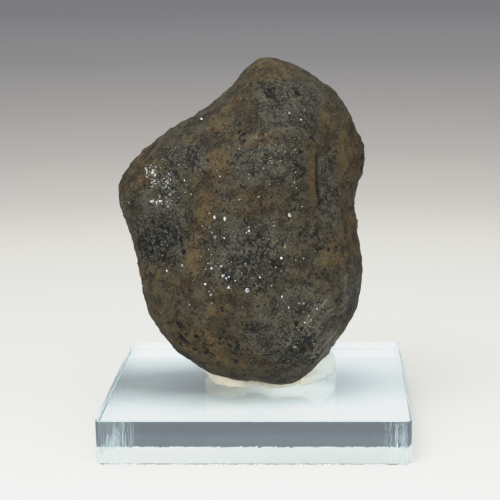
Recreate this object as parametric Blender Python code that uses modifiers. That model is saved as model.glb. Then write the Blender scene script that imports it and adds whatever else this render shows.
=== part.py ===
"""A polymetallic nodule stuck upright on a clear acrylic block with a lump of white mineral tack.

Lengths are in metres, +Z is up, and +Y runs from the front to the back. The origin is at the middle
of the block's underside, where the object rests.
"""

import math

import bpy
import bmesh
from mathutils import Vector, noise

MM = 0.001
GAP = 0.3 * MM

# The clear block, cut from half-inch sheet
BASE_SIDE = 88.9 * MM
BASE_THICKNESS = 12.7 * MM
BASE_CORNER_RADIUS = 1.5 * MM
BASE_CORNER_STEPS = 5
BASE_EDGE_ROUNDING = 0.25 * MM

# The nodule, in its own axes: x to the right, y to the back and z up from its middle. It is a sphere
# whose points move out to the outline and to the depth of the front or back face. The underside is
# fuller than the rest, comes forward, and drops behind its foot, so that the nodule sits low
NODULE_CENTRE = Vector((-2.7, -5.0, 64.4)) * MM
NODULE_LEAN = math.radians(-9.8)
NODULE_TURN = math.radians(2.9)
NODULE_FRONT_DEPTH = 27.0 * MM
NODULE_BACK_DEPTH = 29.0 * MM
NODULE_DETAIL = 5
FULLNESS = 0.86
RIM_SOFTENING = 0.55
RIM_ONLY = 4
RIM_DRIFT = 2.2 * MM
RIM_DRIFT_PHASE = 0.7
UNDERSIDE_ONSET = 1.4
UNDERSIDE_FULLNESS = 0.42
UNDERSIDE_FORWARD = 3.5 * MM
UNDERSIDE_DROP = 0.2
UNDERSIDE_FRONT = 0.5 * MM
UNDERSIDE_REACH = 14.0 * MM

# The outline seen from the front, clockwise from the crown, in millimetres
NODULE_OUTLINE = (
    (8.2, 46.2),
    (17.2, 42.3),
    (26.9, 35.2),
    (32.1, 26.1),
    (34.9, 16.6),
    (32.9, 8.2),
    (31.6, 3.4),
    (32.2, -4.2),
    (33.4, -16.2),
    (31.3, -28.4),
    (24.0, -39.6),
    (15.9, -47.7),
    (8.2, -50.6),
    (-3.0, -48.8),
    (-14.4, -44.7),
    (-23.9, -37.0),
    (-30.0, -26.0),
    (-32.0, -15.1),
    (-34.7, -5.3),
    (-37.9, 6.6),
    (-33.4, 15.8),
    (-24.4, 23.4),
    (-9.5, 32.6),
    (-2.8, 38.8),
    (1.6, 43.8),
)

# Lobes and hollows of the two faces: middle x and z, reach across and up, and rise, in millimetres
FRONT_RELIEF = (
    (7.0, 17.0, 14.0, 11.0, 3.4),
    (10.0, 35.0, 12.0, 8.0, 1.6),
    (-24.0, 8.5, 11.0, 10.0, 2.4),
    (-28.5, -9.0, 6.0, 8.0, -2.8),
    (-17.0, -11.0, 4.5, 12.0, 1.2),
    (-1.0, -24.0, 22.0, 18.0, 3.6),
    (26.5, -14.0, 8.0, 13.0, 2.6),
    (22.5, 9.0, 4.0, 14.0, -1.8),
    (-13.0, 27.0, 9.0, 5.0, -1.4),
    (28.0, -33.0, 6.0, 5.0, -1.2),
)
BACK_RELIEF = (
    (-11.0, 13.0, 18.0, 15.0, 4.2),
    (14.0, 22.0, 10.0, 12.0, 2.2),
    (15.0, -17.0, 14.0, 17.0, 3.8),
    (3.0, 2.0, 9.0, 7.0, -2.4),
    (-18.0, -21.0, 12.0, 13.0, 1.8),
    (-2.0, -38.0, 12.0, 6.0, -1.6),
    (28.0, 3.0, 6.0, 9.0, -2.2),
)

# Low swells all over the two faces
SWELL_HEIGHT = 1.3 * MM
SWELL_SPACING = 12.0 * MM
SWELL_OFFSET = Vector((4.1, 1.7, 8.3))

# The tack: its edge where it meets the block, seen from above, counter-clockwise, in millimetres
PUTTY_CENTRE = Vector((3.0, 3.0, 0.0)) * MM
PUTTY_OUTLINE = (
    (4.6, -12.8),
    (9.5, -10.2),
    (15.5, -5.5),
    (21.0, 0.0),
    (23.6, 7.0),
    (20.4, 12.5),
    (8.0, 15.2),
    (-6.5, 13.8),
    (-14.6, 10.0),
    (-17.3, 4.5),
    (-14.8, -2.2),
    (-11.0, -7.6),
    (-5.6, -9.8),
    (-0.7, -7.9),
)
PUTTY_HEIGHT = 9.5 * MM
PUTTY_SEGMENTS = 48
PUTTY_RINGS = 20
PUTTY_WALL_STEEPNESS = 0.4
PUTTY_UNDERCUT = 0.12

CURVE_STEPS = 8
SOFTENING_ANGLES = (-0.45, -0.3, -0.15, 0.0, 0.15, 0.3, 0.45)


def clear_scene():
    for old in list(bpy.data.objects):
        bpy.data.objects.remove(old, do_unlink=True)


def new_collection(name):
    collection = bpy.data.collections.new(name)
    bpy.context.scene.collection.children.link(collection)
    return collection


def move_to(collection, piece):
    for old in piece.users_collection:
        old.objects.unlink(piece)
    collection.objects.link(piece)


def make_material(name, colour, roughness, transmission=0.0, ior=1.5):
    material = bpy.data.materials.new(name)
    material.use_nodes = True
    surface = material.node_tree.nodes["Principled BSDF"]
    surface.inputs["Base Color"].default_value = (*colour, 1.0)
    surface.inputs["Roughness"].default_value = roughness
    surface.inputs["Metallic"].default_value = 0.0
    surface.inputs["Transmission Weight"].default_value = transmission
    surface.inputs["IOR"].default_value = ior
    return material


def closed_curve(points):
    """A smooth closed curve through the points, as a longer list of points."""
    curve = []
    count = len(points)
    for index in range(count):
        before, start, end, after = (Vector(points[(index + k) % count]) for k in (-1, 0, 1, 2))
        for step in range(CURVE_STEPS):
            t = step / CURVE_STEPS
            curve.append(
                start
                + 0.5 * t * (end - before)
                + t * t * (before - 2.5 * start + 2.0 * end - 0.5 * after)
                + t * t * t * (1.5 * (start - end) + 0.5 * (after - before))
            )
    return curve


def radius_by_angle(points, centre):
    """Angles and distances of a closed curve's points from the centre, in order of angle."""
    polar = []
    for point in closed_curve(points):
        offset = point * MM - centre
        polar.append((math.atan2(offset.y, offset.x) % math.tau, offset.length))
    polar.sort()
    first, last = polar[0], polar[-1]
    return [(last[0] - math.tau, last[1]), *polar, (first[0] + math.tau, first[1])]


def radius_at(polar, angle):
    angle %= math.tau
    for (start, near), (end, far) in zip(polar, polar[1:]):
        if start <= angle <= end:
            share = (angle - start) / max(end - start, 1e-9)
            return near + share * (far - near)
    return polar[0][1]


def softened_radius_at(polar, angle):
    """The outline's radius with its narrow lobes and notches averaged away."""
    radii = [radius_at(polar, angle + turn) for turn in SOFTENING_ANGLES]
    return sum(radii) / len(radii)


def relief_at(lobes, x, z):
    rise = 0.0
    for middle_x, middle_z, across, up, height in lobes:
        reach = ((x / MM - middle_x) / across) ** 2 + ((z / MM - middle_z) / up) ** 2
        rise += height * MM * math.exp(-reach)
    return rise


def nodule_point(direction, polar):
    """Where the point of a unit sphere in this direction goes on the nodule."""
    angle = math.atan2(direction.z, direction.x)
    in_front = direction.y < 0.0
    low = min(1.0, max(0.0, -UNDERSIDE_ONSET * direction.z))
    fullness = FULLNESS if in_front else FULLNESS + (UNDERSIDE_FULLNESS - FULLNESS) * low
    spread = min(1.0, math.hypot(direction.x, direction.z)) ** fullness
    facing = abs(direction.y) ** FULLNESS
    inner = softened_radius_at(polar, angle)
    keep = RIM_SOFTENING + (1.0 - RIM_SOFTENING) * spread**RIM_ONLY
    radius = inner + (radius_at(polar, angle) - inner) * keep
    x = radius * spread * math.cos(angle)
    z = radius * spread * math.sin(angle)
    depth = NODULE_FRONT_DEPTH if in_front else NODULE_BACK_DEPTH
    relief = relief_at(FRONT_RELIEF if in_front else BACK_RELIEF, x, z)
    side = -1.0 if in_front else 1.0
    unswollen = Vector((x, side * depth * facing, z))
    swell = SWELL_HEIGHT * noise.noise(unswollen / SWELL_SPACING + SWELL_OFFSET)
    drift = (RIM_DRIFT * math.sin(2.0 * angle + RIM_DRIFT_PHASE) - UNDERSIDE_FORWARD * low) * spread**2
    y = side * facing * (depth + relief + swell) + drift
    z -= UNDERSIDE_DROP * low * min(UNDERSIDE_REACH, max(0.0, y - UNDERSIDE_FRONT))
    return Vector((x, y, z))


def make_nodule(collection):
    bpy.ops.mesh.primitive_ico_sphere_add(subdivisions=NODULE_DETAIL, radius=1.0)
    nodule = bpy.context.object
    nodule.name = nodule.data.name = "nodule"
    polar = radius_by_angle(NODULE_OUTLINE, Vector((0.0, 0.0)))
    for vertex in nodule.data.vertices:
        vertex.co = nodule_point(vertex.co.normalized(), polar)
    nodule.data.shade_smooth()
    nodule.location = NODULE_CENTRE
    nodule.rotation_euler = (NODULE_LEAN, 0.0, NODULE_TURN)
    nodule.data.materials.append(make_material("manganese_crust", (0.055, 0.043, 0.032), 0.7))
    move_to(collection, nodule)
    return nodule


def make_seat_cutter(collection, nodule):
    """The nodule grown by the gap, which presses its seat into the tack."""
    cutter = nodule.copy()
    cutter.data = nodule.data.copy()
    cutter.name = cutter.data.name = "seat_cutter"
    cutter.data.materials.clear()
    collection.objects.link(cutter)
    grow = cutter.modifiers.new("grow", "DISPLACE")
    grow.strength = GAP
    grow.mid_level = 0.0
    cutter.hide_render = True
    cutter.display_type = "WIRE"
    return cutter


def putty_point(direction, polar):
    """Where the point of a unit sphere in this direction goes on the lump of tack."""
    angle = math.atan2(direction.y, direction.x)
    spread = min(1.0, math.hypot(direction.x, direction.y))
    if direction.z < 0.0:
        height = 0.0
        reach = spread * (1.0 - PUTTY_UNDERCUT * abs(direction.z))
    else:
        height = PUTTY_HEIGHT * direction.z**PUTTY_WALL_STEEPNESS
        reach = spread
    radius = radius_at(polar, angle) * reach
    return Vector((radius * math.cos(angle), radius * math.sin(angle), height))


def make_putty(collection, seat_cutter):
    bpy.ops.mesh.primitive_uv_sphere_add(segments=PUTTY_SEGMENTS, ring_count=PUTTY_RINGS, radius=1.0)
    putty = bpy.context.object
    putty.name = putty.data.name = "mounting_putty"
    polar = radius_by_angle(PUTTY_OUTLINE, PUTTY_CENTRE.xy)
    for vertex in putty.data.vertices:
        vertex.co = putty_point(vertex.co.normalized(), polar)
    putty.data.shade_smooth()
    putty.location = PUTTY_CENTRE + Vector((0.0, 0.0, BASE_THICKNESS + GAP))
    seat = putty.modifiers.new("seat", "BOOLEAN")
    seat.operation = "DIFFERENCE"
    seat.solver = "EXACT"
    seat.object = seat_cutter
    putty.data.materials.append(make_material("mineral_tack", (0.78, 0.72, 0.60), 0.6))
    move_to(collection, putty)
    return putty


def make_base(collection):
    bpy.ops.mesh.primitive_cube_add(size=1.0)
    base = bpy.context.object
    base.name = base.data.name = "acrylic_base"
    shape = bmesh.new()
    shape.from_mesh(base.data)
    bmesh.ops.scale(shape, vec=(BASE_SIDE, BASE_SIDE, BASE_THICKNESS), verts=shape.verts)
    upright = [edge for edge in shape.edges if abs(edge.verts[0].co.z - edge.verts[1].co.z) > GAP]
    bmesh.ops.bevel(
        shape,
        geom=upright,
        offset=BASE_CORNER_RADIUS,
        segments=BASE_CORNER_STEPS,
        profile=0.5,
        affect="EDGES",
    )
    shape.to_mesh(base.data)
    shape.free()
    base.location = (0.0, 0.0, BASE_THICKNESS / 2.0)
    rounding = base.modifiers.new("edge_rounding", "BEVEL")
    rounding.width = BASE_EDGE_ROUNDING
    rounding.segments = 2
    rounding.limit_method = "ANGLE"
    rounding.angle_limit = math.radians(60.0)
    base.data.materials.append(make_material("clear_acrylic", (0.86, 0.92, 0.94), 0.02, 1.0, 1.49))
    move_to(collection, base)
    return base


def main():
    clear_scene()
    parts = new_collection("manganese_nodule_on_base")
    cutters = new_collection("cutters")
    make_base(parts)
    nodule = make_nodule(parts)
    make_putty(parts, make_seat_cutter(cutters, nodule))


main()
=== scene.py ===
import math
import random

import bmesh
import bpy
import numpy as np
from mathutils import Matrix, Vector, noise
from mathutils.bvhtree import BVHTree


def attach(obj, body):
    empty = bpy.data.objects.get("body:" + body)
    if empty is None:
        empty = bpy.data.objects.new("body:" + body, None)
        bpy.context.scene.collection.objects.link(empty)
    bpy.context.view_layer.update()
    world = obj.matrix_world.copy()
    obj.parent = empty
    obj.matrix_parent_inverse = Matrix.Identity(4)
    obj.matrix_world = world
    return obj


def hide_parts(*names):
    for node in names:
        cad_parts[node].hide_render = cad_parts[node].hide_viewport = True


MM = 0.001

# The camera, fitted to the corners of the acrylic base.
CAMERA_PLACE = Vector((22.2, -488.1, 148.5)) * MM
CAMERA_TURN = 2.87
CAMERA_DOWN = 11.11
CAMERA_ROLL = -0.85
CAMERA_LENS = 119.3

# The point of the nodule that places on its front are measured from.
NODULE_MIDDLE = Vector((-2.7, -5.0, 64.4)) * MM

FLOOR_RADII = (0.03, 0.08, 0.2, 0.5, 1.2, 3.0, 9.0)
FLOOR_SIDES = 48
FLOOR_GAP = 0.1 * MM

# The paper's colour at each distance, in metres, from its palest place: painted light that falls off away
# from the object.
FLOOR_LIGHT_MIDDLE = (0.0, -0.15, 0.0)
FLOOR_REACH = 3.0
FLOOR_LIGHT_FALLOFF = (
    (0.06, (0.85, 0.85, 0.80)),
    (0.20, (0.62, 0.62, 0.58)),
    (0.44, (0.48, 0.47, 0.435)),
    (0.56, (0.39, 0.375, 0.355)),
    (0.76, (0.305, 0.29, 0.277)),
    (1.01, (0.250, 0.240, 0.233)),
    (1.52, (0.190, 0.186, 0.188)),
    (2.62, (0.146, 0.143, 0.155)),
)

# The glowing card under the acrylic is painted light that brightens the table seen through it: a dimmer
# place, long from left to right, that is a painted shadow of the nodule, and a brighter place in it that is
# a painted pool of light.
CARD_INSET = 0.12 * MM
CARD_COLOUR = (0.74, 0.79, 0.79, 1.0)
CARD_LIGHT_COLOUR = (0.89, 1.0, 1.01, 1.0)
CARD_GLOW = 1.05
CARD_SHADOW_PLACE = (-0.017, 0.0055, 0.0)
CARD_SHADOW_SHAPE = (0.43, 1.0, 0.0)
CARD_SHADOW_REACH = (10 * MM, 32 * MM)
CARD_POOL_PLACE = (0.012, -0.004, 0.0)
CARD_POOL_REACH = (5 * MM, 22 * MM)
CARD_POOL_GLOW = 0.75

# The light tent's colour at each height of the sky, low to high, behind the object and in front of it.
TENT_BEHIND = (
    (0.00, (0.109, 0.118, 0.155)),
    (0.36, (0.109, 0.118, 0.155)),
    (0.60, (1.20, 1.21, 1.22)),
    (1.00, (1.70, 1.70, 1.68)),
)
TENT_IN_FRONT = (
    (0.00, (1.00, 1.00, 1.00)),
    (0.10, (2.20, 2.20, 2.20)),
    (0.50, (2.20, 2.20, 2.20)),
    (1.00, (1.70, 1.70, 1.68)),
)
LIGHT_PLACE = (-0.45, -0.8, 1.2)
LIGHT_SIZE = 0.7
LIGHT_POWER = 10

# Tones: how bright each amount of light is shown.
BRIGHTEST = 2.4
BRIGHTEST_SHOWN = 0.97
TONE_POINTS = ((0.3, 0.27), (0.6, 0.56), (0.9, 0.79), (1.15, 0.86), (1.5, 0.90))

BOUNCES = 32
GLOSSY_BOUNCES = 16

# The acrylic base. Its edges are rounded a little, and the lower one is ragged.
BASE_SIDE = 88.9 * MM
BASE_HEIGHT = 12.7 * MM
LEFT = -BASE_SIDE / 2
FRONT = -BASE_SIDE / 2
BACK = BASE_SIDE / 2
CORNER_RADIUS = 1.5 * MM
CORNER_STEPS = 8
EDGE_RADIUS = 0.25 * MM
OUTLINE_STEP = 0.8 * MM
RAGGED_DEPTH = 0.12 * MM
RAGS_PER_METRE = 900

# Acrylic's own index is 1.49. A higher one brings the pale strip in the front face down to where it is seen.
ACRYLIC_INDEX = 1.6
ACRYLIC_ROUGHNESS = 0.015
ACRYLIC_TINT = (0.25, 0.85, 0.90, 1.0)
ACRYLIC_DENSITY = 2.2

# Saw marks on the acrylic's cut sides, upright and much longer than they are wide.
MARK_WIDTH = 0.7 * MM
MARK_LENGTH = 14 * MM
MARK_DEPTH = 0.12 * MM
FRONT_MARKS = 1.25

# The tack touches the base, is sunk a little into the nodule, and has a lip in front.
PUTTY_FOOT = 0.6 * MM
PUTTY_GAP = 0.02 * MM
PUTTY_SUNK = 0.15 * MM
PUTTY_LIP = 1.3 * MM
PUTTY_LIP_TOP = 15.5 * MM
PUTTY_LIP_REACH = 5 * MM

# The tack is drawn to the nodule where it is near and faces up, and less as it is farther or steeper.
PUTTY_NEAR = 1.2 * MM
PUTTY_FAR = 2.4 * MM
PUTTY_SLOPE = 0.35

# The nodule's relief is low up to here, so that it stays in its seat, and full a little higher.
SEAT_HEIGHT = 15 * MM
SEAT_REACH = 6 * MM
SEAT_RELIEF = 0.25

# How many times the faces of a modelled piece are cut in four for its finer copy.
FINER_LEVELS = 2


# Camera and tones

def camera_matrix():
    """Where the camera stands and how it is turned."""
    turned = Matrix.Rotation(math.radians(CAMERA_TURN), 4, "Z")
    turned = turned @ Matrix.Rotation(math.radians(90 - CAMERA_DOWN), 4, "X")
    turned = turned @ Matrix.Rotation(math.radians(CAMERA_ROLL), 4, "Z")
    return Matrix.Translation(CAMERA_PLACE) @ turned


def add_camera():
    """The camera at the photograph's place and angle."""
    data = bpy.data.cameras.new("camera")
    data.lens = CAMERA_LENS
    data.clip_start = 0.01
    data.clip_end = 50
    camera = bpy.data.objects.new("camera", data)
    camera.matrix_world = camera_matrix()
    bpy.context.scene.collection.objects.link(camera)
    bpy.context.scene.camera = camera


def set_tones():
    """Tones like the photograph's, where bright parts level off below white."""
    view = bpy.context.scene.view_settings
    view.view_transform = "Standard"
    view.use_curve_mapping = True
    mapping = view.curve_mapping
    mapping.white_level = (BRIGHTEST, BRIGHTEST, BRIGHTEST)
    all_colours = 3
    curve = mapping.curves[all_colours]
    for light, shown in TONE_POINTS:
        curve.points.new(light / BRIGHTEST, shown)
    first, last = curve.points[0], curve.points[len(curve.points) - 1]
    first.location = (0.0, 0.0)
    last.location = (1.0, BRIGHTEST_SHOWN)
    mapping.update()


def allow_bounces():
    """Enough bounces for light that is caught in the acrylic's corners."""
    cycles = bpy.context.scene.cycles
    cycles.max_bounces = BOUNCES
    cycles.transmission_bounces = BOUNCES
    cycles.glossy_bounces = GLOSSY_BOUNCES


# Node helpers

def new_material(name):
    """A material with a node tree, and its main shader."""
    material = bpy.data.materials.new(name)
    material.use_nodes = True
    return material, material.node_tree.nodes["Principled BSDF"]


class Tree:
    """Short ways to add and join the nodes of one material."""

    def __init__(self, material):
        self.nodes = material.node_tree.nodes
        self.links = material.node_tree.links

    def add(self, kind, **settings):
        node = self.nodes.new(kind)
        for name, value in settings.items():
            setattr(node, name, value)
        return node

    def join(self, output, socket):
        self.links.new(output, socket)

    def place(self):
        return self.add("ShaderNodeTexCoord").outputs["Object"]

    def attribute(self, name):
        return self.add("ShaderNodeAttribute", attribute_name=name).outputs["Fac"]

    def stretched(self, lengths, turn=0.0):
        """Places measured in lengths along X, Y and Z, after a turn of the front's plane in degrees."""
        node = self.add("ShaderNodeMapping", vector_type="TEXTURE")
        node.inputs["Rotation"].default_value = (0.0, -math.radians(turn), 0.0)
        node.inputs["Scale"].default_value = lengths
        self.join(self.place(), node.inputs["Vector"])
        return node.outputs["Vector"]

    def noise(self, size, detail=3.0, rough=0.55, swirl=0.0, place=None):
        """Soft noise whose lumps are about size metres across, from 0 to 1."""
        node = self.add("ShaderNodeTexNoise")
        node.inputs["Distortion"].default_value = swirl
        node.inputs["Scale"].default_value = 1 / size
        node.inputs["Detail"].default_value = detail
        node.inputs["Roughness"].default_value = rough
        self.join(place or self.place(), node.inputs["Vector"])
        return node.outputs["Fac"]

    def steps(self, value, low, high, out_low=0.0, out_high=1.0):
        """value spread from low..high to out_low..out_high, and held at the ends."""
        node = self.add("ShaderNodeMapRange")
        self.join(value, node.inputs["Value"])
        node.inputs["From Min"].default_value = low
        node.inputs["From Max"].default_value = high
        node.inputs["To Min"].default_value = out_low
        node.inputs["To Max"].default_value = out_high
        return node.outputs["Result"]

    def times(self, one, other):
        return self.math("MULTIPLY", one, other)

    def math(self, operation, one, other):
        node = self.add("ShaderNodeMath", operation=operation)
        for socket, value in zip(node.inputs, (one, other)):
            if isinstance(value, (int, float)):
                socket.default_value = value
            else:
                self.join(value, socket)
        return node.outputs[0]

    def mix(self, amount, one, other):
        """Colour one where amount is 0 and other where it is 1."""
        node = self.add("ShaderNodeMix", data_type="RGBA")
        self.join(amount, node.inputs["Factor"])
        for socket, value in ((node.inputs["A"], one), (node.inputs["B"], other)):
            if isinstance(value, tuple):
                socket.default_value = value + (1.0,)
            else:
                self.join(value, socket)
        return node.outputs["Result"]

    def apart(self, place, squeeze=(1.0, 1.0, 1.0)):
        """Distance from a place, each axis first multiplied by its part of squeeze."""
        away = self.add("ShaderNodeVectorMath", operation="SUBTRACT")
        self.join(self.place(), away.inputs[0])
        away.inputs[1].default_value = place
        squeezed = self.add("ShaderNodeVectorMath", operation="MULTIPLY")
        self.join(away.outputs["Vector"], squeezed.inputs[0])
        squeezed.inputs[1].default_value = squeeze
        length = self.add("ShaderNodeVectorMath", operation="LENGTH")
        self.join(squeezed.outputs["Vector"], length.inputs[0])
        return length.outputs["Value"]

    def parts(self, vector):
        """The X, Y and Z of a vector, by name."""
        node = self.add("ShaderNodeSeparateXYZ")
        self.join(vector, node.inputs["Vector"])
        return node.outputs

    def bump(self, height, depth):
        """A normal for bumps depth metres high."""
        node = self.add("ShaderNodeBump")
        node.inputs["Strength"].default_value = 1.0
        node.inputs["Distance"].default_value = depth
        self.join(height, node.inputs["Height"])
        return node.outputs["Normal"]


# Stage

def fill_ramp(ramp, stops):
    """Sets a colour ramp to (position, colour) stops."""
    while len(ramp.color_ramp.elements) < len(stops):
        ramp.color_ramp.elements.new(0.5)
    for element, (position, colour) in zip(ramp.color_ramp.elements, stops):
        element.position = position
        element.color = colour + (1.0,)


def floor_material():
    """Near-white paper with painted light falloff: palest near the object and darker with distance."""
    material, shader = new_material("paper_with_painted_falloff")
    tree = Tree(material)
    ramp = tree.add("ShaderNodeValToRGB")
    tree.join(tree.math("DIVIDE", tree.apart(FLOOR_LIGHT_MIDDLE), FLOOR_REACH), ramp.inputs["Fac"])
    fill_ramp(ramp, [(distance / FLOOR_REACH, colour) for distance, colour in FLOOR_LIGHT_FALLOFF])
    tree.join(ramp.outputs["Color"], shader.inputs["Base Color"])
    shader.inputs["Roughness"].default_value = 0.9
    shader.inputs["Specular IOR Level"].default_value = 0.1
    return material


def add_floor():
    """A wide plain floor just under the base, in rings so that its middle has small faces."""
    corners, faces = [(0.0, 0.0, 0.0)], []
    for ring, radius in enumerate(FLOOR_RADII):
        for k in range(FLOOR_SIDES):
            angle = math.tau * k / FLOOR_SIDES
            corners.append((radius * math.cos(angle), radius * math.sin(angle), 0.0))
            here, after = k + 1, (k + 1) % FLOOR_SIDES + 1
            outer = ring * FLOOR_SIDES
            if ring == 0:
                faces.append((0, here, after))
            else:
                inner = outer - FLOOR_SIDES
                faces.append((inner + here, outer + here, outer + after, inner + after))
    mesh = bpy.data.meshes.new("floor")
    mesh.from_pydata(corners, [], faces)
    mesh.materials.append(floor_material())
    floor = bpy.data.objects.new("floor", mesh)
    floor.location.z = -FLOOR_GAP
    bpy.context.scene.collection.objects.link(floor)


def add_glowing_card():
    """A white card that glows under the acrylic as painted light, less in a wide patch below the nodule that
    is a painted shadow, and more in a small painted pool of light.
    """
    half = BASE_SIDE / 2 - CARD_INSET
    corners = [(-half, -half, 0), (half, -half, 0), (half, half, 0), (-half, half, 0)]
    mesh = bpy.data.meshes.new("card")
    mesh.from_pydata(corners, [], [(0, 1, 2, 3)])
    material, shader = new_material("glowing_white_card")
    tree = Tree(material)
    glow = tree.steps(tree.apart(CARD_SHADOW_PLACE, CARD_SHADOW_SHAPE), *CARD_SHADOW_REACH, 0.0, CARD_GLOW)
    bright = tree.steps(tree.apart(CARD_POOL_PLACE), *CARD_POOL_REACH, CARD_POOL_GLOW, 0.0)
    shader.inputs["Base Color"].default_value = CARD_COLOUR
    shader.inputs["Emission Color"].default_value = CARD_LIGHT_COLOUR
    tree.join(tree.math("MAXIMUM", glow, bright), shader.inputs["Emission Strength"])
    mesh.materials.append(material)
    card = bpy.data.objects.new("card", mesh)
    card.location.z = -FLOOR_GAP / 2
    bpy.context.scene.collection.objects.link(card)


def add_world():
    """A white light tent that is open, and slate grey, low down at the back."""
    world = bpy.data.worlds.new("studio")
    bpy.context.scene.world = world
    world.use_nodes = True
    tree = Tree(world)
    way = tree.add("ShaderNodeTexCoord").outputs["Generated"]
    height = tree.parts(way)["Z"]
    behind = tree.add("ShaderNodeValToRGB")
    tree.join(height, behind.inputs["Fac"])
    fill_ramp(behind, TENT_BEHIND)
    before = tree.add("ShaderNodeValToRGB")
    tree.join(height, before.inputs["Fac"])
    fill_ramp(before, TENT_IN_FRONT)
    side = tree.add("ShaderNodeVectorMath", operation="DOT_PRODUCT")
    tree.join(way, side.inputs[0])
    forwards = (0.0, -1.0, 0.0)
    side.inputs[1].default_value = forwards
    sky = world.node_tree.nodes["Background"]
    front = tree.steps(side.outputs["Value"], 0.0, 0.55)
    tree.join(tree.mix(front, behind.outputs["Color"], before.outputs["Color"]), sky.inputs["Color"])
    sky.inputs["Strength"].default_value = 1.0


def add_light():
    """A square soft light that faces the nodule and isn't seen by the camera."""
    data = bpy.data.lights.new("key", "AREA")
    data.shape = "SQUARE"
    data.size = LIGHT_SIZE
    data.energy = LIGHT_POWER
    light = bpy.data.objects.new("key", data)
    light.location = LIGHT_PLACE
    light.rotation_euler = (NODULE_MIDDLE - Vector(LIGHT_PLACE)).to_track_quat("-Z", "Y").to_euler()
    light.visible_camera = False
    bpy.context.scene.collection.objects.link(light)


# Acrylic base

def base_outline():
    """Points round a square with rounded corners."""
    half = BASE_SIDE / 2 - CORNER_RADIUS
    side_steps = round(2 * half / OUTLINE_STEP)
    points = []
    for quarter in range(4):
        start = math.radians(90 * quarter)
        turn = Matrix.Rotation(start, 2)
        middle = turn @ Vector((half, half))
        for k in range(CORNER_STEPS + 1):
            angle = start + math.radians(90) * k / CORNER_STEPS
            points.append(middle + CORNER_RADIUS * Vector((math.cos(angle), math.sin(angle))))
        along = turn @ Vector((-1.0, 0.0))
        for k in range(1, side_steps):
            points.append(points[-1] + along * (2 * half / side_steps))
    return points


def acrylic_material():
    """Clear polished acrylic, faintly blue-green through its length."""
    material, shader = new_material("clear_acrylic")
    shader.inputs["Base Color"].default_value = (1.0, 1.0, 1.0, 1.0)
    shader.inputs["Transmission Weight"].default_value = 1.0
    shader.inputs["IOR"].default_value = ACRYLIC_INDEX
    shader.inputs["Roughness"].default_value = ACRYLIC_ROUGHNESS
    tree = Tree(material)
    facing = tree.parts(tree.add("ShaderNodeNewGeometry").outputs["Normal"])
    fronts = tree.steps(tree.math("ABSOLUTE", facing["Y"], 0.0), 0.6, 0.9)
    sides = tree.steps(tree.math("ABSOLUTE", facing["Z"], 0.0), 0.5, 0.9, 1.0, 0.0)
    end_marks = tree.noise(1.0, place=tree.stretched((1.0, MARK_WIDTH, MARK_LENGTH)))
    front_marks = tree.noise(1.0, place=tree.stretched((MARK_WIDTH, 1.0, MARK_LENGTH)))
    marks = tree.math("ADD", end_marks, tree.times(tree.times(fronts, front_marks), FRONT_MARKS))
    tree.join(tree.bump(tree.times(sides, marks), MARK_DEPTH), shader.inputs["Normal"])
    absorb = tree.add("ShaderNodeVolumeAbsorption")
    absorb.inputs["Color"].default_value = ACRYLIC_TINT
    absorb.inputs["Density"].default_value = ACRYLIC_DENSITY
    tree.join(absorb.outputs["Volume"], tree.nodes["Material Output"].inputs["Volume"])
    return material


def base_levels():
    """(inset, height) of each ring of points up the acrylic's side, with rounded edges."""
    rings = []
    for k in range(4):
        angle = math.radians(30 * k)
        rings.append((EDGE_RADIUS * (1 - math.sin(angle)), EDGE_RADIUS * (1 - math.cos(angle))))
    middle = [(0.0, EDGE_RADIUS + (BASE_HEIGHT - 2 * EDGE_RADIUS) * k / 4) for k in range(1, 4)]
    return rings + middle + [(inset, BASE_HEIGHT - height) for inset, height in reversed(rings)]


def add_acrylic():
    """The acrylic base, with tiny rounded edges and a ragged lower edge."""
    outline = base_outline()
    work = bmesh.new()
    loops = []
    for inset, height in base_levels():
        loop = []
        shrink = 1 - 2 * inset / BASE_SIDE
        for point in outline:
            place = Vector((point.x * shrink, point.y * shrink, height))
            if 0 < height < EDGE_RADIUS:
                place.z += RAGGED_DEPTH * max(0.0, noise.noise(place * RAGS_PER_METRE))
            loop.append(work.verts.new(place))
        loops.append(loop)
    for low, high in zip(loops, loops[1:]):
        for k in range(len(low)):
            after = (k + 1) % len(low)
            work.faces.new((low[k], low[after], high[after], high[k]))
    work.faces.new(list(reversed(loops[0])))
    work.faces.new(loops[-1])
    mesh = bpy.data.meshes.new("acrylic_block")
    work.to_mesh(mesh)
    work.free()
    mesh.materials.append(acrylic_material())
    block = bpy.data.objects.new("acrylic_block", mesh)
    bpy.context.scene.collection.objects.link(block)
    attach(block, "root")
    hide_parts("acrylic_base")


# Copies of the modelled pieces

def finer_copy(node, name):
    """A smooth, finer copy of a modelled piece, joined along its edges."""
    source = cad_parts[node]
    mesh = source.data.copy()
    mesh.transform(source.matrix_world)
    mesh.materials.clear()
    work = bmesh.new()
    work.from_mesh(mesh)
    bmesh.ops.remove_doubles(work, verts=work.verts, dist=1e-6)
    work.to_mesh(mesh)
    work.free()
    copy = bpy.data.objects.new(name, mesh)
    bpy.context.scene.collection.objects.link(copy)
    modifier = copy.modifiers.new("finer", "SUBSURF")
    modifier.levels = FINER_LEVELS
    graph = bpy.context.evaluated_depsgraph_get()
    fine = bpy.data.meshes.new_from_object(copy.evaluated_get(graph))
    copy.modifiers.clear()
    copy.data = fine
    fine.name = name
    fine.shade_smooth()
    return copy


# Mineral tack

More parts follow.
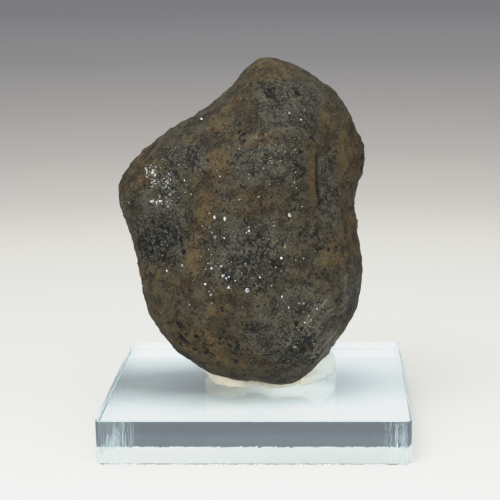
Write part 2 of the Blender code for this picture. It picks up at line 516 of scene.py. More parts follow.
def putty_material():
    """Creamy white mineral tack, soft and waxy."""
    material, shader = new_material("mineral_tack")
    tree = Tree(material)
    tone = tree.steps(tree.noise(3 * MM), 0.35, 0.7)
    cream = tree.mix(tone, (0.86, 0.76, 0.60), (0.92, 0.84, 0.69))
    right = tree.steps(tree.parts(tree.place())["X"], 12 * MM, 17 * MM)
    tree.join(tree.mix(right, cream, (0.74, 0.79, 0.74)), shader.inputs["Base Color"])
    shader.inputs["Roughness"].default_value = 0.5
    shader.inputs["Subsurface Weight"].default_value = 0.3
    shader.inputs["Subsurface Radius"].default_value = (0.002, 0.0015, 0.001)
    shader.inputs["Subsurface Scale"].default_value = 1.0
    tree.join(tree.bump(tree.noise(0.8 * MM), 0.05 * MM), shader.inputs["Normal"])
    return material


def add_putty(nodule):
    """The lump of tack, pressed out between the nodule and the base until it touches both."""
    putty = finer_copy("mounting_putty", "putty_lump")
    tree = BVHTree.FromObject(nodule, bpy.context.evaluated_depsgraph_get())
    for vertex in putty.data.vertices:
        upwards = min(1.0, max(0.0, vertex.normal.z / PUTTY_SLOPE))
        if vertex.co.y < 0 and vertex.co.z < PUTTY_LIP_TOP:
            vertex.co.y -= PUTTY_LIP * min(1.0, -vertex.co.y / PUTTY_LIP_REACH)
        if vertex.co.z < BASE_HEIGHT + PUTTY_FOOT:
            vertex.co.z = BASE_HEIGHT + PUTTY_GAP
            continue
        place, normal, _, apart = tree.find_nearest(vertex.co)
        close = min(1.0, max(0.0, (PUTTY_FAR - apart) / (PUTTY_FAR - PUTTY_NEAR)))
        vertex.co = vertex.co.lerp(place - normal * PUTTY_SUNK, close * upwards)
    putty.data.materials.append(putty_material())
    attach(putty, "root")
    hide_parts("mounting_putty")


# The front of the nodule, as the camera sees it

class FrontView:
    """Places on the nodule's front, in millimetres right of and above its middle as the camera sees them."""

    def __init__(self):
        turned = camera_matrix().to_3x3()
        self.eye = CAMERA_PLACE
        self.right, self.up, self.back = turned.col
        self.reach = -(NODULE_MIDDLE - self.eye).dot(self.back)

    def places(self, points):
        """(across, up) of many points."""
        apart = points - np.array(self.eye)
        depth = -(apart @ np.array(self.back))
        middle = NODULE_MIDDLE - self.eye
        across = (apart @ np.array(self.right)) / depth * self.reach - middle.dot(self.right)
        up = (apart @ np.array(self.up)) / depth * self.reach - middle.dot(self.up)
        return across / MM, up / MM

    def hit(self, tree, across, up):
        """The nodule's surface there, and its normal, or two Nones."""
        target = NODULE_MIDDLE + (self.right * across + self.up * up) * MM
        place, normal, _, _ = tree.ray_cast(self.eye, target - self.eye)
        return place, normal


class Surface:
    """The nodule's points as arrays, with masks and noise over them."""

    def __init__(self, mesh):
        count = len(mesh.vertices)
        self.points = np.empty(count * 3)
        self.normals = np.empty(count * 3)
        mesh.vertices.foreach_get("co", self.points)
        mesh.vertices.foreach_get("normal", self.normals)
        self.points.shape = self.normals.shape = (count, 3)
        view = FrontView()
        self.across, self.up = view.places(self.points)
        towards = np.array(view.eye) - self.points
        towards /= np.linalg.norm(towards, axis=1)[:, None]
        self.facing = np.clip((towards * self.normals).sum(axis=1) * 4 + 0.6, 0, 1)
        self.even = np.ones(count)

    def noise(self, size, seed):
        """Smooth noise from about -1 to 1, with lumps about size millimetres across."""
        shift = Vector((seed * 7.3, seed * 3.1, seed * 5.7))
        scale = 1 / (size * MM)
        return np.array([noise.noise(Vector(p) * scale + shift) for p in self.points]) * 1.6

    def cells(self, size, seed):
        """Distance from the nearest cell's middle, from 0 to 1, in cells about size millimetres across."""
        shift = Vector((seed * 4.7, seed * 2.9, seed * 8.3))
        scale = 1 / (size * MM)
        return np.array([noise.voronoi(Vector(p) * scale + shift)[0][0] for p in self.points])

    def turned(self, turn, across=0.0, up=0.0):
        """Places along and beside a direction at turn degrees, from a place on the front."""
        cosine, sine = math.cos(math.radians(turn)), math.sin(math.radians(turn))
        right, above = self.across - across, self.up - up
        return right * cosine + above * sine, above * cosine - right * sine

    def spot(self, across, up, wide, high, turn=0.0):
        """1 at a place on the front, fading out at about wide and high millimetres from it."""
        x, y = self.turned(turn, across, up)
        return np.exp(-((x / wide) ** 2 + (y / high) ** 2)) * self.facing

    def patch(self, across, up, wide, high, turn=0.0):
        """Like spot, but flat on top and with a steeper edge."""
        x, y = self.turned(turn, across, up)
        return np.exp(-((x / wide) ** 4 + (y / high) ** 4)) * self.facing

    def line(self, points, width):
        """1 along a line of places on the front, fading out at about width millimetres from it."""
        nearest = np.full(len(self.across), 1e9)
        for (x0, y0), (x1, y1) in zip(points, points[1:]):
            dx, dy = x1 - x0, y1 - y0
            t = np.clip(((self.across - x0) * dx + (self.up - y0) * dy) / (dx * dx + dy * dy), 0, 1)
            nearest = np.minimum(nearest, np.hypot(self.across - x0 - t * dx, self.up - y0 - t * dy))
        return np.exp(-((nearest / width) ** 2)) * self.facing


# Nodule

# Patches on the front: across, up, wide, high, turn.
RUST_PATCHES = (
    (7.0, 43.0, 9.0, 3.5, 0),
    (-5.5, 30.0, 2.8, 8.5, -36),
    (-8.4, 14.5, 4.2, 5.5, 0),
    (-14.0, -4.5, 2.9, 16.0, -9),
    (-18.5, -20.5, 4.5, 2.2, 20),
    (-31.0, 11.0, 4.5, 8.0, -20),
    (30.0, 18.0, 3.8, 10.0, 5),
    (24.5, 26.0, 4.0, 5.0, 0),
    (19.3, 12.5, 1.6, 8.5, 3),
    (32.0, -2.0, 3.5, 9.0, 0),
    (26.5, -11.0, 3.5, 6.0, 0),
    (-20.0, -35.0, 6.0, 4.0, -40),
    (-12.5, -37.5, 8.0, 4.5, -15),
    (-6.0, -44.0, 10.0, 4.5, -10),
    (-8.4, -27.0, 3.5, 4.5, 0),
    (-30.0, -19.0, 4.0, 5.0, 20),
    (-26.0, -31.0, 4.0, 5.5, 30),
    (0.0, 3.0, 6.0, 4.0, 0),
    (5.0, 22.0, 9.0, 2.5, 0),
)

# Darker patches, partly denser black specks and partly painted shade in the hollows.
DARK_AND_SHADED_PATCHES = (
    (-27.0, -8.0, 7.5, 7.0, 0),
    (1.7, -15.5, 9.0, 7.0, 0),
    (-15.2, 16.4, 3.0, 4.0, 0),
    (-22.5, 15.0, 2.5, 4.5, 0),
    (6.4, 36.4, 2.4, 2.4, 0),
    (8.2, 16.6, 4.5, 2.5, 0),
    (14.5, 13.0, 2.2, 3.0, 0),
    (18.0, -6.0, 4.0, 2.5, 0),
    (0.4, -33.3, 3.6, 1.8, -15),
    (-3.0, -40.0, 5.0, 1.8, -15),
    (14.5, -39.5, 6.5, 5.0, 20),
)

GRIT_PATCHES = (
    (12.0, 32.0, 9.0, 8.0, 0),
    (6.0, 15.0, 11.0, 6.0, 0),
    (-25.5, -1.0, 7.0, 14.0, 0),
    (-17.0, 16.5, 6.5, 4.0, 0),
    (1.0, -11.0, 12.5, 9.5, 0),
    (13.0, -33.0, 13.0, 10.0, 40),
    (24.0, 6.0, 2.2, 13.0, 4),
    (30.0, -23.0, 3.0, 7.0, -10),
)

# Smooth places: the raised block's flat right face, and a dark face low down at the right.
FACET = (19.2, 12.5, 1.9, 8.5, 3)
DARK_FACE = (31.0, -25.5, 1.9, 7.0, -10)
DARK_FACE_EDGE = ((28.9, -19.0), (29.0, -24.0), (27.4, -29.5))
SMOOTH_PATCHES = (FACET, DARK_FACE)

# The reddest places.
OCHRE_PATCHES = (
    (6.2, 43.0, 6.5, 3.0, 0),
    FACET,
    (-14.8, -7.0, 1.8, 9.0, -9),
    (-8.6, 14.5, 2.5, 3.5, 0),
    (30.5, 19.0, 2.6, 7.0, 5),
    (-17.5, -36.5, 7.0, 3.0, -35),
    (-7.0, -43.5, 8.0, 4.0, -12),
    (33.5, -3.0, 2.5, 9.0, 0),
)

# The pale upper edge of the raised block, a painted highlight, the dark crease beside it and the crack in
# its middle, both darkened with painted shade.
BLOCK_EDGE = ((0.0, 21.4), (6.3, 24.4), (14.3, 24.9), (17.8, 22.9))
CREASE = ((20.8, 17.0), (20.9, 12.2), (21.3, 6.6), (21.9, 3.0))
CRACK = ((6.0, 11.3), (8.1, 10.4), (10.1, 10.7), (11.9, 11.8))

# Rounded hollows (less than 0) and swellings: height, then across, up, wide, high, turn.
SWELLINGS = (
    (-1.1, (7.6, 36.7, 1.7, 1.9, 0)),
    (-1.5, (-26.7, -8.5, 6.5, 6.0, 0)),
    (0.8, (-23.0, -18.5, 6.0, 3.0, 10)),
    (-1.0, (32.2, -24.6, 1.4, 3.4, -12)),
)
RAISED_BLOCK = (8.3, 15.4, 12.8, 9.8)
BLOCK_HOLLOW = (8.5, 16.6, 3.2, 1.5)
LEFT_HOLLOW = (-27.0, -8.5, 7.0, 6.5)
# A painted highlight along the shiny rim low down at the right.
RIM_HIGHLIGHT = (23.0, -39.0, 2.2, 5.5, -40)

# Lifts of the front's lower edge: height, middle, width. The edge is at the level below them.
EDGE_LIFTS = (
    (1.15, 2.8, 4.5),
    (0.4, 9.0, 3.5),
    (-0.3, 15.0, 3.0),
    (-0.3, -8.0, 3.0),
)
EDGE_LEVEL = -51.0

# One of the ridges beside the dark face, and how many there are and how far apart.
RIDGE = ((28.0, -30.0), (30.0, -24.0), (31.0, -16.0))
RIDGE_COUNT = 3
RIDGE_STEP = 1.5


def combined(surface, patches):
    """The greatest of several patches at each point."""
    return np.max([surface.patch(*patch) for patch in patches], axis=0)


def eased(values, low, high):
    """0 below low, 1 above high, and smooth between."""
    t = np.clip((values - low) / (high - low), 0, 1)
    return t * t * (3 - 2 * t)


def fine_relief(surface):
    """Lumps, knobs and grit all over, in millimetres."""
    lumps = surface.noise(4.2, 2)
    knobs = surface.noise(2.2, 3)
    grit = surface.noise(1.3, 4)
    bumps = 1 - np.clip(surface.cells(2.5, 5) / 0.75, 0, 1) ** 2
    wrinkles = np.exp(-((surface.noise(6.5, 8) / 0.10) ** 2)) * eased(surface.noise(14.0, 9), -0.2, 0.5)
    fine = 0.25 * lumps + 0.17 * knobs + 0.15 * grit + 0.16 * bumps - 0.35 * wrinkles
    return fine * (1 - 0.8 * combined(surface, SMOOTH_PATCHES))


def pits(surface):
    """How deep in a small pit each point is, from 0 to 1."""
    holes = eased(1 - surface.cells(1.9, 6) / 0.55, 0.05, 0.6)
    where = eased(surface.noise(9.0, 7), 0.5, 1.0)
    where = np.maximum(where, surface.patch(*LEFT_HOLLOW))
    where = np.maximum(where, 0.7 * surface.patch(-13.5, -39.0, 7.5, 4.0, -20))
    where = where * eased(surface.noise(3.2, 17), -0.35, 0.35)
    return holes * where * (1 - combined(surface, SMOOTH_PATCHES))


STREAK_SLANT = 52
RIPPLE_SLANT = -28


def waves(surface, slant, length, width, seed):
    """Long ridges that run at slant degrees over the front, from about -1 to 1."""
    along, aside = surface.turned(slant)
    return np.array([noise.noise((a / length, b / width, seed)) for a, b in zip(along, aside)]) * 1.6


def streaks(surface):
    """Fine ridges that run up to the right over the lower right of the front."""
    return waves(surface, STREAK_SLANT, 8.0, 1.5, 3.5) * surface.patch(20.0, -34.0, 6.5, 12.0, -38)


def ripples(surface):
    """Wavy ridges that run down to the right over the lower left of the front."""
    return waves(surface, RIPPLE_SLANT, 6.0, 1.7, 8.5) * surface.patch(-15.0, -38.0, 11.0, 6.0, -22)


def hump(values, middle, wide):
    """1 at middle, fading out at about wide from it."""
    return np.exp(-(((values - middle) / wide) ** 2))


def bottom_lift(surface):
    """How far the lower edge of the front is moved up, in millimetres, to follow its curved outline."""
    lift = sum(height * hump(surface.across, middle, wide) for height, middle, wide in EDGE_LIFTS)
    in_front = np.clip((-5 - surface.points[:, 1] / MM) / 8, 0, 1)
    return lift * in_front * hump(surface.up, EDGE_LEVEL, 6.0)


def features(surface):
    """The raised block, creases, cracks and hollows that the front shows, in millimetres."""
    height = 0.9 * surface.patch(*RAISED_BLOCK) + 0.35 * surface.line(BLOCK_EDGE, 0.8)
    height -= 1.1 * surface.line(CREASE, 0.6) + 0.9 * surface.line(CRACK, 0.6)
    for swelling, where in SWELLINGS:
        height += swelling * surface.spot(*where)
    for k in range(RIDGE_COUNT):
        ridge = [(across - k * RIDGE_STEP, up) for across, up in RIDGE]
        height += 0.40 * surface.line(ridge, 0.5)
    return height + 0.55 * streaks(surface) + 0.45 * ripples(surface)


def add_attribute(mesh, name, values):
    """Keeps one number a point for the crust's material."""
    layer = mesh.attributes.new(name, "FLOAT", "POINT")
    layer.data.foreach_set("value", values.astype(np.float32))


# Colours of the crust, each in its darkest and its lightest tone, picked by random tone and by painted
# relief shade, and of what lies on it.
BROWN = ((0.016, 0.0132, 0.0072), (0.062, 0.0520, 0.0310))
GREY = ((0.013, 0.0120, 0.0083), (0.065, 0.0605, 0.0425))
OCHRE = ((0.030, 0.0180, 0.0062), (0.102, 0.0655, 0.0215))
LIGHT_SPECK = (0.100, 0.094, 0.070)
# The colour of painted sheen on the streaks and shiny edges.
SHEEN_STREAK = (0.150, 0.144, 0.118)
DARK_SPECK = (0.005, 0.005, 0.005)
# Black of the holes, partly painted shade where they gather in crevices, and the black of painted shade in
# the crevices.
HOLE = (0.004, 0.004, 0.004)
CREVICE_SHADE = (0.003, 0.003, 0.003)


def crust_material():
    """Dark brown crust with ochre stains, grey grit, black specks, pale streaks of painted sheen, painted
    shade in its crevices and painted relief shade.
    """
    material, shader = new_material("manganese_crust")
    tree = Tree(material)
    names = ("rust", "specks_and_shade", "grit", "relief_shade", "black", "painted_sheen")
    rust, specks_and_shade, grit, relief_shade, black, painted_sheen = [tree.attribute(name) for name in names]
    fine = tree.noise(0.6 * MM, detail=3.0, rough=0.75)
    # Tone from fine noise, and painted relief shade: lighter on raised parts, darker in the dips.
    tone_and_relief_shade = tree.steps(tree.math("ADD", tree.times(fine, 0.8), tree.times(relief_shade, 0.26)), 0.43, 0.65)
    colour = tree.mix(grit, tree.mix(tone_and_relief_shade, *BROWN), tree.mix(tone_and_relief_shade, *GREY))
    broken = tree.steps(tree.noise(1.5 * MM, detail=4.0, rough=0.7, swirl=1.2), 0.42, 0.56, 0.25, 0.95)
    colour = tree.mix(tree.math("MINIMUM", tree.times(rust, broken), 0.80), colour, tree.mix(tone_and_relief_shade, *OCHRE))
    speckle = tree.noise(0.62 * MM, detail=2.0)
    light_specks = tree.times(tree.steps(speckle, 0.57, 0.64), tree.steps(grit, 0.0, 1.0, 0.12, 0.8))
    colour = tree.mix(light_specks, colour, LIGHT_SPECK)
    # Painted sheen along the crests of the streaks at the lower right.
    streak = tree.noise(1.0, place=tree.stretched((7 * MM, 3 * MM, 0.8 * MM), STREAK_SLANT))
    colour = tree.mix(tree.times(painted_sheen, tree.steps(streak, 0.42, 0.62, 0.1, 1.0)), colour, SHEEN_STREAK)
    spread = tree.math("ADD", tree.noise(0.85 * MM, detail=3.0, rough=0.6), tree.times(specks_and_shade, 0.12))
    colour = tree.mix(tree.steps(spread, 0.595, 0.645, 0.0, 0.92), colour, DARK_SPECK)
    # Painted shade: more black holes in the darker and blacker places, and black in the crevices, pits and
    # troughs.
    deeper = tree.math("ADD", tree.times(specks_and_shade, 0.07), tree.times(black, 0.09))
    holes = tree.math("ADD", tree.noise(1.8 * MM, detail=2.0, swirl=0.6), deeper)
    colour = tree.mix(tree.steps(holes, 0.645, 0.68, 0.0, 0.92), colour, HOLE)
    colour = tree.mix(tree.steps(black, 0.25, 0.60, 0.0, 0.95), colour, CREVICE_SHADE)
    tree.join(colour, shader.inputs["Base Color"])
    tree.join(tree.steps(speckle, 0.35, 0.7, 0.85, 0.45), shader.inputs["Roughness"])
    shader.inputs["Specular IOR Level"].default_value = 0.22
    gritty = tree.noise(0.5 * MM, detail=4.0, rough=0.7)
    tree.join(tree.bump(gritty, 0.30 * MM), shader.inputs["Normal"])
    return material


def grit_amount(surface):
    """Where the crust is grey and gritty, from 0 to 1."""
    behind = 1 - surface.facing
    grit = np.maximum(combined(surface, GRIT_PATCHES), eased(surface.noise(12.0, 14), -0.1, 0.6) * behind)
    return eased(grit + 0.20 * surface.noise(3.0, 16), 0.1, 0.9)


def rust_amount(surface, grit):
    """Where the crust is stained with ochre, from 0 to 1."""
    stain = 0.10 + 0.60 * combined(surface, RUST_PATCHES) + 0.45 * (1 - surface.facing) - 0.20 * grit
    stain += 0.38 * combined(surface, OCHRE_PATCHES)
    stain += 0.26 * surface.noise(5.0, 11) + 0.30 * surface.noise(2.2, 12) + 0.5 * ripples(surface)
    return eased(stain, 0.0, 0.9)


def specks_and_shade_amount(surface):
    """Where black specks are denser, partly as painted shade in the hollows, from 0 to 1."""
    shade = 0.85 * combined(surface, DARK_AND_SHADED_PATCHES) + 0.15 * (1 - surface.facing)
    shade += 0.35 * surface.noise(4.0, 13) + 0.25 * surface.noise(2.0, 15)
    shade -= 0.8 * combined(surface, SMOOTH_PATCHES) + 0.3 * combined(surface, OCHRE_PATCHES)
    return eased(shade, -0.1, 1.0)


def crevice_shade_amount(surface, pit):
    """How black the crevices, pits, troughs and hollows are with painted shade, from 0 to 1."""
    black = 0.55 * surface.line(CREASE, 0.6) + 0.5 * surface.line(CRACK, 0.6) + eased(pit, 0.05, 0.4)
    black += np.clip(-0.5 * streaks(surface), 0, 1) + np.clip(-0.6 * ripples(surface), 0, 1)
    black += 0.40 * surface.patch(*BLOCK_HOLLOW) + 0.36 * surface.patch(*DARK_FACE)
    return np.clip(black, 0, 1)


def painted_sheen_amount(surface):
    """How much painted sheen lightens the shiny edges and the crests of the streaks, from 0 to 1."""
    shine = surface.patch(*RIM_HIGHLIGHT) + 1.1 * np.clip(streaks(surface), 0, 1)
    shine += 0.35 * surface.line(BLOCK_EDGE, 0.9) + 0.7 * surface.line(DARK_FACE_EDGE, 0.5)
    return np.clip(shine, 0, 1)


def add_nodule():
    """The nodule's crust, with relief at every size down to half a millimetre."""
    nodule = finer_copy("nodule", "nodule_crust")
    mesh = nodule.data
    surface = Surface(mesh)
    fine = fine_relief(surface)
    pit = pits(surface)
    height = 0.30 * surface.noise(9.5, 1) + fine - 0.9 * pit + features(surface)
    held = np.clip((surface.points[:, 2] - SEAT_HEIGHT) / SEAT_REACH, SEAT_RELIEF, 1)
    moved = surface.points + surface.normals * (height * held * MM)[:, None]
    moved[:, 2] += bottom_lift(surface) * MM
    mesh.vertices.foreach_set("co", moved.ravel())
    mesh.update()
    grit = grit_amount(surface)
    add_attribute(mesh, "rust", rust_amount(surface, grit))
    add_attribute(mesh, "specks_and_shade", specks_and_shade_amount(surface))
    add_attribute(mesh, "black", crevice_shade_amount(surface, pit))
    add_attribute(mesh, "painted_sheen", painted_sheen_amount(surface))
    add_attribute(mesh, "grit", grit)
    # Painted relief shade: light on raised bumps and on the block's flat right face, shade in the dips.
    add_attribute(mesh, "relief_shade", np.maximum(eased(fine, -0.45, 0.55), 0.9 * surface.patch(*FACET)))
    mesh.materials.append(crust_material())
    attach(nodule, "root")
    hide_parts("nodule")
    return nodule


# Mineral grains

# Single bright grains on the front, partly white grains and partly painted glints: across, up, wide, high,
# turn.
WHITE_GRAINS_AND_GLINTS = (
    (-6.6, -1.3, 0.9, 1.7, 0),
    (-9.7, -1.0, 0.6, 1.3, 5),
    (-9.5, -6.9, 1.1, 1.3, 0),
    (12.6, -0.3, 1.1, 1.6, 0),
    (10.1, -13.1, 0.8, 0.9, 0),
    (0.0, -22.7, 1.6, 1.8, 10),
    (-7.1, -18.3, 1.3, 0.9, 20),
    (-6.3, -19.0, 0.9, 0.8, 0),
    (-5.5, -21.8, 0.9, 0.9, 0),
    (-10.7, -23.9, 0.9, 0.8, 0),
    (-12.4, -20.8, 0.8, 0.7, 0),
    (10.3, -24.4, 0.6, 0.9, 0),
    (16.7, -26.5, 0.8, 0.8, 0),
    (15.4, -26.5, 0.7, 0.6, 0),
    (-23.7, -16.9, 0.9, 0.7, 0),
    (12.5, 29.9, 0.6, 0.9, 0),
    (15.9, 27.9, 0.8, 0.5, 0),
    (-2.3, 4.2, 0.6, 0.6, 0),
    (-13.2, -3.6, 0.5, 0.7, 0),
    (0.5, -5.0, 0.7, 1.0, 0),
    (-7.6, -15.5, 1.0, 0.7, 0),
    (-10.6, -16.1, 0.8, 0.8, 0),
    (-13.5, 28.0, 1.3, 0.9, 0),
    (-27.8, 12.1, 1.5, 1.2, 20),
    (-26.9, 13.8, 1.0, 0.8, 0),
    (-24.0, 8.0, 1.3, 0.9, 0),
    (-25.8, 5.1, 0.9, 0.9, 0),
    (-25.4, 3.8, 0.9, 0.7, 0),
)

YELLOW_GRAINS = (
    (11.2, -9.6, 0.5, 1.8, -30),
    (3.5, 5.1, 0.9, 0.7, 20),
    (9.9, 15.7, 0.8, 0.5, 0),
    (-16.6, 5.8, 0.5, 0.9, 0),
    (11.3, -44.8, 0.5, 0.5, 0),
    (14.2, -39.3, 1.1, 0.7, 20),
    (-11.3, -10.5, 0.5, 0.9, 0),
)

# Smaller bright grains on the front, partly white grains and partly painted glints: across, up, size.
SMALL_GRAINS_AND_GLINTS = (
    (-11.2, 0.2, 0.4), (-10.4, -5.5, 0.4), (-6.8, -7.1, 0.5), (-6.4, -5.3, 0.5), (-4.1, -5.1, 0.4),
    (-3.7, -6.7, 0.4), (-0.2, -5.5, 0.4), (0.5, -3.9, 0.4), (6.4, -7.5, 0.4), (8.0, -3.5, 0.4),
    (-13.6, -12.6, 0.4), (-12.4, -16.4, 0.4), (-0.5, -14.8, 0.6), (-5.4, -18.7, 0.5), (-3.5, -19.8, 0.4),
    (1.5, -19.0, 0.4), (3.8, -18.8, 0.6), (-10.6, -21.9, 0.5), (-10.5, -26.5, 0.4), (-17.1, -26.9, 0.4),
    (-1.3, -27.5, 0.5), (-15.3, -28.9, 0.4), (8.4, -15.8, 0.3), (14.4, -13.7, 0.4), (16.7, -13.2, 0.4),
    (18.3, -30.3, 0.5), (18.9, -31.3, 0.6), (17.1, -32.2, 0.5), (20.7, -28.1, 0.5), (-19.1, -15.2, 1.0),
    (14.0, 9.3, 0.4), (-18.5, 9.9, 0.5), (16.2, 2.2, 0.4),
)


def chip_corners():
    """The 12 corners of an icosahedron of radius 1: two tips, a lower ring and a higher one."""
    corners = [Vector((0, 0, -1)), Vector((0, 0, 1))]
    ring, height = 0.89, 0.45
    for first_turn, up in ((0, -height), (36, height)):
        for k in range(5):
            turn = math.radians(72 * k + first_turn)
            corners.append(Vector((ring * math.cos(turn), ring * math.sin(turn), up)))
    return corners


def chip_faces():
    """The 20 triangles between the corners, each seen anticlockwise from outside."""
    faces = []
    for k in range(5):
        low, low_next = 2 + k, 2 + (k + 1) % 5
        high, high_next = 7 + k, 7 + (k + 1) % 5
        faces += [(0, low_next, low), (1, high, high_next)]
        faces += [(low, low_next, high), (low_next, high_next, high)]
    return faces


CHIP_CORNERS = chip_corners()
CHIP_FACES = chip_faces()
CLUMP_SPREAD = 0.45 * MM


class Chips:
    """Many small angular grains, gathered into one mesh."""

    def __init__(self, seed):
        self.dice = random.Random(seed)
        self.corners = []
        self.faces = []

    def add(self, place, normal, wide, high, turn, thick=0.7, sunk=0.25):
        """One grain at a place on the surface. wide and high are in millimetres."""
        upright = Vector((0, 0, 1)) - normal * normal.z
        if upright.length < 0.1:
            upright = Vector((0, 1, 0)) - normal * normal.y
        upright.normalize()
        sideways = upright.cross(normal)
        turned = Matrix.Rotation(math.radians(turn), 3, normal)
        upright, sideways = turned @ upright, turned @ sideways
        deep = min(wide, high) * thick
        start = len(self.corners)
        for corner in CHIP_CORNERS:
            jitter = [self.dice.uniform(0.7, 1.15) for _ in range(3)]
            x = corner.x * jitter[0] * wide / 2
            y = corner.y * jitter[1] * high / 2
            z = (corner.z * jitter[2] / 2 + 0.5 - sunk) * deep
            self.corners.append(place + (sideways * x + upright * y + normal * z) * MM)
        self.faces += [tuple(start + i for i in face) for face in CHIP_FACES]

    def scatter(self, surface, weights, count, smallest, largest, clump=1, sunk=0.25):
        """count grains over the surface, more where weights are greater, in clumps of a few."""
        for i in self.dice.choices(range(len(weights)), weights=weights, k=count // clump):
            middle = Vector(surface.points[i])
            for _ in range(clump):
                spread = [self.dice.gauss(0, CLUMP_SPREAD) if clump > 1 else 0.0 for _ in range(3)]
                place, normal, _, _ = surface.tree.find_nearest(middle + Vector(spread))
                size = smallest + (largest - smallest) * self.dice.random() ** 2
                high = size * self.dice.uniform(0.6, 1.6)
                self.add(place, normal, size, high, self.dice.uniform(0, 180), sunk=sunk)

    def finish(self, name, material, node="nodule"):
        """Turns the grains gathered so far into a piece of the nodule, or of another node."""
        mesh = bpy.data.meshes.new(name)
        mesh.from_pydata(self.corners, [], self.faces)
        mesh.materials.append(material)
        grains = bpy.data.objects.new(name, mesh)
        bpy.context.scene.collection.objects.link(grains)
        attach(grains, "root")
        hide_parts(node)


def grain_material(name, dull, bright, size, roughness):
    """Mineral grains whose colour varies from dull to bright from one to the next."""
    material, shader = new_material(name)
    tree = Tree(material)
    tone = tree.steps(tree.noise(size, detail=1.0), 0.38, 0.68)
    tree.join(tree.mix(tone, dull, bright), shader.inputs["Base Color"])
    shader.inputs["Roughness"].default_value = roughness
    return material


def add_white_grains_and_glints(surface, view):
    """White grains, partly painted glints, where the photograph shows them, with finer ones round about."""
    white = Chips(21)
    for across, up, wide, high, turn in WHITE_GRAINS_AND_GLINTS:
        white.add(*view.hit(surface.tree, across, up), wide, high, turn)
    for across, up, size in SMALL_GRAINS_AND_GLINTS:
        tall = size * white.dice.uniform(1.0, 1.5)
        white.add(*view.hit(surface.tree, across, up), size, tall, white.dice.uniform(-30, 30))
    cluster = 1.2 * surface.spot(-28.2, 12.4, 1.4, 1.8) + 0.8 * surface.spot(-25.6, 6.5, 2.4, 4.4, 8)
    for weights, count, smallest, largest, clump in (
        (cluster, 132, 0.2, 0.75, 6),
        (surface.spot(-23.5, 6.0, 5.0, 8.0), 100, 0.15, 0.35, 1),
        (surface.patch(-1.0, -12.0, 14.0, 13.0), 30, 0.2, 0.4, 2),
        (surface.patch(6.5, 17.0, 9.0, 7.0), 45, 0.2, 0.35, 1),
        (surface.spot(20.0, -33.0, 5.0, 8.0, -35), 36, 0.2, 0.45, 2),
        (surface.patch(*LEFT_HOLLOW), 80, 0.15, 0.32, 1),
        (surface.even, 45, 0.2, 0.5, 3),
    ):
        white.scatter(surface, weights, count, smallest, largest, clump)
    material = grain_material("white_grains_and_glints", (0.11, 0.12, 0.12), (0.60, 0.62, 0.62), 1.2 * MM, 0.4)
    white.finish("nodule_white_grains_and_glints", material)


def add_yellow_grains(surface, view):
    """Yellow grains where the photograph shows them, with finer ones round about."""
    yellow = Chips(22)
    for across, up, wide, high, turn in YELLOW_GRAINS:
        yellow.add(*view.hit(surface.tree, across, up), wide, high, turn)
    yellow.scatter(surface, surface.patch(7.5, 15.0, 9.0, 7.0), count=45, smallest=0.2, largest=0.45)
    yellow.scatter(surface, surface.even, count=40, smallest=0.25, largest=0.5)
    material = grain_material("yellow_grains", (0.16, 0.13, 0.06), (0.42, 0.37, 0.22), 1.2 * MM, 0.45)
    yellow.finish("nodule_yellow_grains", material)


def add_grit(surface):
    """Grey grit, most in the gritty patches, and black grit all over."""
    grey = Chips(23)
    gritty = 0.10 + combined(surface, GRIT_PATCHES)
    gritty += 0.8 * np.clip(surface.noise(9.0, 24), 0, 1) * (1 - surface.facing)
    grey.scatter(surface, gritty, count=2000, smallest=0.3, largest=0.75, clump=2, sunk=0.5)
    material = grain_material("grey_grit", (0.030, 0.028, 0.021), (0.095, 0.090, 0.070), 0.9 * MM, 0.5)
    grey.finish("nodule_grey_grit", material)

    black = Chips(24)
    black.scatter(surface, surface.even, count=1600, smallest=0.35, largest=0.85, clump=2, sunk=0.6)
    material = grain_material("black_grit", (0.007, 0.007, 0.006), (0.024, 0.022, 0.017), 0.9 * MM, 0.4)
    black.finish("nodule_black_grit", material)


def add_grains(nodule):
    """White and yellow grains, and grit, over the finished crust."""
    surface = Surface(nodule.data)
    surface.tree = BVHTree.FromObject(nodule, bpy.context.evaluated_depsgraph_get())
    view = FrontView()
    add_white_grains_and_glints(surface, view)
    add_yellow_grains(surface, view)
    add_grit(surface)


def edge_chips(chips, count, y, height, spread, smallest, largest):
    """Flat chips in a row along the acrylic's front or back, at y and a height in metres."""
    half = BASE_SIDE / 2 - CORNER_RADIUS
    outwards = Vector((0, math.copysign(1, y), 0))
    for _ in range(count):
        up = height + chips.dice.gauss(0, spread) * MM
        place = Vector((chips.dice.uniform(-half, half), y, min(BASE_HEIGHT, max(0.0, up))))
        wide = chips.dice.uniform(smallest, largest)
        chips.add(place, outwards, wide, wide * chips.dice.uniform(0.3, 0.6), 0, thick=0.5, sunk=0.5)


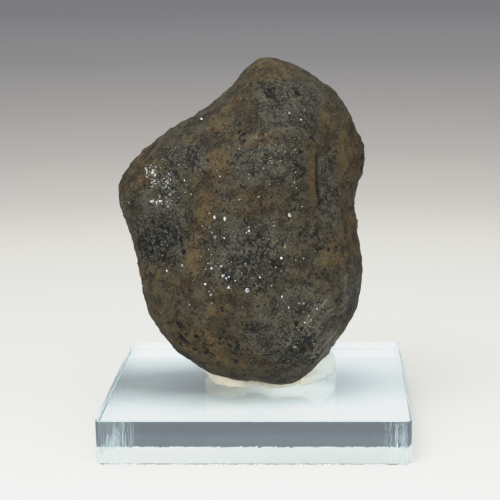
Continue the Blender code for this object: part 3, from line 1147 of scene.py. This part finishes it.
def add_nicks():
    """White nicks along the acrylic's edges, specks on its front and scratches near its left corner."""
    nicks = Chips(25)
    edge_chips(nicks, 90, FRONT, 0.3 * MM, spread=0.3, smallest=0.15, largest=0.5)
    edge_chips(nicks, 50, FRONT, BASE_HEIGHT - 0.3 * MM, spread=0.4, smallest=0.1, largest=0.3)
    edge_chips(nicks, 120, BACK, 0.2 * MM, spread=0.2, smallest=0.3, largest=0.9)
    edge_chips(nicks, 50, FRONT, BASE_HEIGHT * 0.6, spread=2.5, smallest=0.08, largest=0.2)
    upwards = Vector((0, 0, 1))
    for _ in range(16):
        inwards = (abs(nicks.dice.gauss(2, 2)) * MM, abs(nicks.dice.gauss(0, 0.8)) * MM)
        place = Vector((LEFT + inwards[0], FRONT + inwards[1], BASE_HEIGHT))
        long = nicks.dice.uniform(0.2, 0.7)
        nicks.add(place, upwards, long, 0.15, nicks.dice.uniform(0, 180), thick=0.3, sunk=0.5)
    material = grain_material("acrylic_nicks", (0.60, 0.64, 0.63), (0.85, 0.89, 0.88), 0.5 * MM, 0.5)
    nicks.finish("acrylic_nicks", material, "acrylic_base")


def add_contact_shadow_chips():
    """Grey chips along the acrylic's lower edges: a painted contact shadow where the base meets the floor.
    """
    shadow_chips = Chips(26)
    edge_chips(shadow_chips, 320, FRONT, 0.05 * MM, spread=0.06, smallest=0.3, largest=0.9)
    edge_chips(shadow_chips, 60, BACK, 0.1 * MM, spread=0.1, smallest=0.3, largest=0.9)
    material = grain_material("acrylic_contact_shadow", (0.16, 0.17, 0.16), (0.42, 0.43, 0.41), 0.8 * MM, 0.8)
    shadow_chips.finish("acrylic_contact_shadow", material, "acrylic_base")


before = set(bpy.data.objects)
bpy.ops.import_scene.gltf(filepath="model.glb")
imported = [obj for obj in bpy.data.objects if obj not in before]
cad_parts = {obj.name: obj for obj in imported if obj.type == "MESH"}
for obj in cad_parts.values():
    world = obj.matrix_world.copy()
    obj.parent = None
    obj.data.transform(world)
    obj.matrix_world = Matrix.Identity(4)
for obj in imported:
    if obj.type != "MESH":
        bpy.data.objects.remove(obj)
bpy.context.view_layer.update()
set_tones()
allow_bounces()
add_camera()
add_floor()
add_glowing_card()
add_world()
add_light()
add_acrylic()
add_nicks()
add_contact_shadow_chips()
crust = add_nodule()
add_grains(crust)
add_putty(crust)
